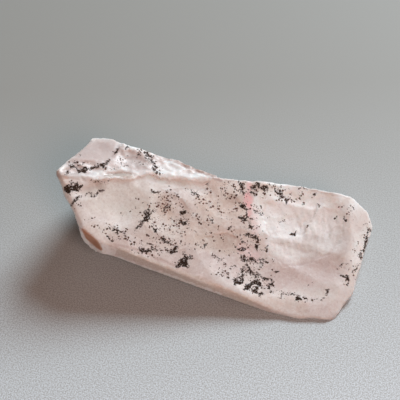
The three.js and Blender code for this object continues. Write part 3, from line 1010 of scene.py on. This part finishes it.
# How white each place is, frosted and painted highlight, from the strokes, the crests and the lips of the
# steps
def frostAndHighlightShare(nodes, patches):
    crests = nodes.times(nodes.attribute("crests"), stoneShares["crests"])
    lips = nodes.times(nodes.attribute("lips"), stoneShares["lips"])
    whitened = nodes.math("ADD", nodes.math("ADD", nodes.attribute("frost"), crests), lips)
    uneven = nodes.math("ADD", whitened, nodes.math("SUBTRACT", patches, 0.5))
    return nodes.rangeOf(uneven, *stoneShares["frosted"])


def stoneMaterial():
    nodes = MaterialNodes("pinkBeryl")
    colours, shares = stoneColours, stoneShares
    clouds, patches, sugar = (nodes.noise(**settings) for settings in stoneNoises.values())
    blots, clear, rusty, tones = (nodes.attribute(name) for name in ("blots", "clear", "rust", "tones"))
    frosted = frostAndHighlightShare(nodes, patches)
    fine, coarse = grainMasks(nodes, blots)
    footShades = nodes.times(nodes.attribute("footShades"), shares["footShades"])
    halo = nodes.times(nodes.rangeOf(blots, *shares["haloAtBlots"]),
                       nodes.rangeOf(patches, *shares["haloInPatches"]))
    colour = nodes.mix(clouds, colours["milky"], colours["pink"])
    for share, colourName in (
        (nodes.attribute("pink"), "pink"),
        (clear, "clear"),
        (nodes.times(rusty, nodes.rangeOf(patches, *shares["rustInPatches"])), "rust"),
        # painted shade on the front strip
        (nodes.times(nodes.attribute("strip"), shares["strip"]), "shadeAndDimTone"),
        (frosted, "frost"),
        (nodes.attribute("cool"), "cool"),
        (nodes.rangeOf(sugar, *shares["sugarFrost"]), "frost"),
        (nodes.rangeOf(sugar, *shares["sugarDeep"]), "shadeAndDimTone"),
        (nodes.rangeOf(tones, *shares["toneFrost"]), "frost"),
        (nodes.rangeOf(tones, *shares["toneDeep"]), "shadeAndDimTone"),
        # painted shade: the dimmer places, the far rim and the feet of the steps
        (nodes.math("ADD", nodes.attribute("shadeAndDimTone"), footShades), "shadeAndDimTone"),
        (nodes.times(nodes.attribute("streak"), nodes.rangeOf(sugar, *shares["streakInSugar"])), "streak"),
        # painted shadow seen through the corner facet
        (nodes.attribute("windowShadow"), "windowShadow"),
        (nodes.times(halo, shares["halo"]), "grainHalo"),
    ):
        colour = nodes.mix(share, colour, colours[colourName])
    colour = nodes.mix(fine, colour, nodes.mix(rusty, colours["fineGrain"], colours["rustyGrain"]))
    colour = nodes.mix(coarse, colour, colours["grain"])
    roughness = nodes.rangeOf(frosted, 0.0, 1.0, *stoneSkin["roughness"])
    roughness = nodes.math("SUBTRACT", roughness, nodes.times(clear, stoneSkin["clearSmoother"]))
    roughness = nodes.math("MAXIMUM", roughness, nodes.math("MAXIMUM", fine, coarse))
    bump = nodes.tree.nodes.new("ShaderNodeBump")
    for socket, value in stoneSkin["bump"].items():
        bump.inputs[socket].default_value = value
    nodes.join(nodes.noise(**stoneSkin["bumpNoise"]), bump.inputs["Height"])
    nodes.join(bump.outputs[0], nodes.shader.inputs["Normal"])
    nodes.join(colour, nodes.shader.inputs["Base Color"])
    nodes.join(roughness, nodes.shader.inputs["Roughness"])
    for socket, value in stoneFinish.items():
        nodes.shader.inputs[socket].default_value = value
    return nodes.material


stone = shapeStone()
stainAndShadeStone(stone)
stone.data.materials.append(stoneMaterial())
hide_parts("morganite_crystal")
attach(stone, "root")


# The studio: a pale floor with painted light, brighter towards the front, a large soft light behind the
# stone on the right, and a weak fill

studio = {
    "floorSize": 1.6,
    # painted light: the floor's colour is darker behind and brighter and cooler in front
    "floorDimBehind": (0.227, 0.230, 0.216),
    "floorLitInFront": (0.520, 0.592, 0.645),
    "floorLightFade": (-40 * mm, 38 * mm),  # from behind to in front
    "floorLightFadeSlant": 0.35,  # the fade runs a little to the right
    "floorLightFadePower": 1.3,
    "floorRoughness": 0.7,
    "fleckSize": 0.18 * mm,
    "flecks": (0.38, 0.62, 0.0, 0.8),
    "keyFrom": (0.22, 0.76, 0.57),
    "keySize": 0.46,
    "keyPower": 14.3,
    "keyColour": (0.95, 1.06, 1.12),
    "fillFrom": (0.13, -0.17, 0.17),
    "fillSize": 0.12,
    "fillPower": 0.43,
    "fillColour": (1.0, 0.67, 0.57),
    "worldColour": (1.0, 0.70, 0.58),
    "worldStrength": 0.165,
}


def softLight(name, place, size, power, colour):
    bpy.ops.object.light_add(type="AREA", location=place)
    light = bpy.context.object
    light.name = name
    light.data.shape = "DISK"
    light.data.size = size
    light.data.energy = power
    light.data.color = colour
    light.rotation_euler = Vector(place).to_track_quat("Z", "Y").to_euler()


def floorMaterial():
    nodes = MaterialNodes("palePaper")
    apart = nodes.tree.nodes.new("ShaderNodeSeparateXYZ")
    nodes.join(nodes.places, apart.inputs[0])
    slanted = nodes.times(apart.outputs["X"], studio["floorLightFadeSlant"])
    forward = nodes.math("SUBTRACT", slanted, apart.outputs["Y"])
    # painted light, growing towards the front
    paintedLight = nodes.math("POWER", nodes.rangeOf(forward, *studio["floorLightFade"]), studio["floorLightFadePower"])
    colour = nodes.mix(paintedLight, studio["floorDimBehind"], studio["floorLitInFront"])
    flecks = nodes.rangeOf(nodes.noise(studio["fleckSize"], 2.0), *studio["flecks"])
    nodes.join(nodes.mix(flecks, colour, studio["floorDimBehind"]), nodes.shader.inputs["Base Color"])
    nodes.shader.inputs["Roughness"].default_value = studio["floorRoughness"]
    return nodes.material


def buildStudio():
    bpy.ops.object.select_all(action="DESELECT")
    bpy.ops.mesh.primitive_plane_add(size=studio["floorSize"], location=(0, 0, 0))
    floor = bpy.context.object
    floor.name = "floor"
    floor.data.materials.append(floorMaterial())
    softLight("keyLight", studio["keyFrom"], studio["keySize"], studio["keyPower"], studio["keyColour"])
    softLight("fillLight", studio["fillFrom"], studio["fillSize"], studio["fillPower"], studio["fillColour"])
    world = bpy.data.worlds.new("studioWorld")
    world.use_nodes = True
    background = world.node_tree.nodes["Background"]
    background.inputs["Color"].default_value = (*studio["worldColour"], 1)
    background.inputs["Strength"].default_value = studio["worldStrength"]
    bpy.context.scene.world = world
    bpy.context.scene.view_settings.view_transform = "Standard"
    print("studio built")


buildStudio()
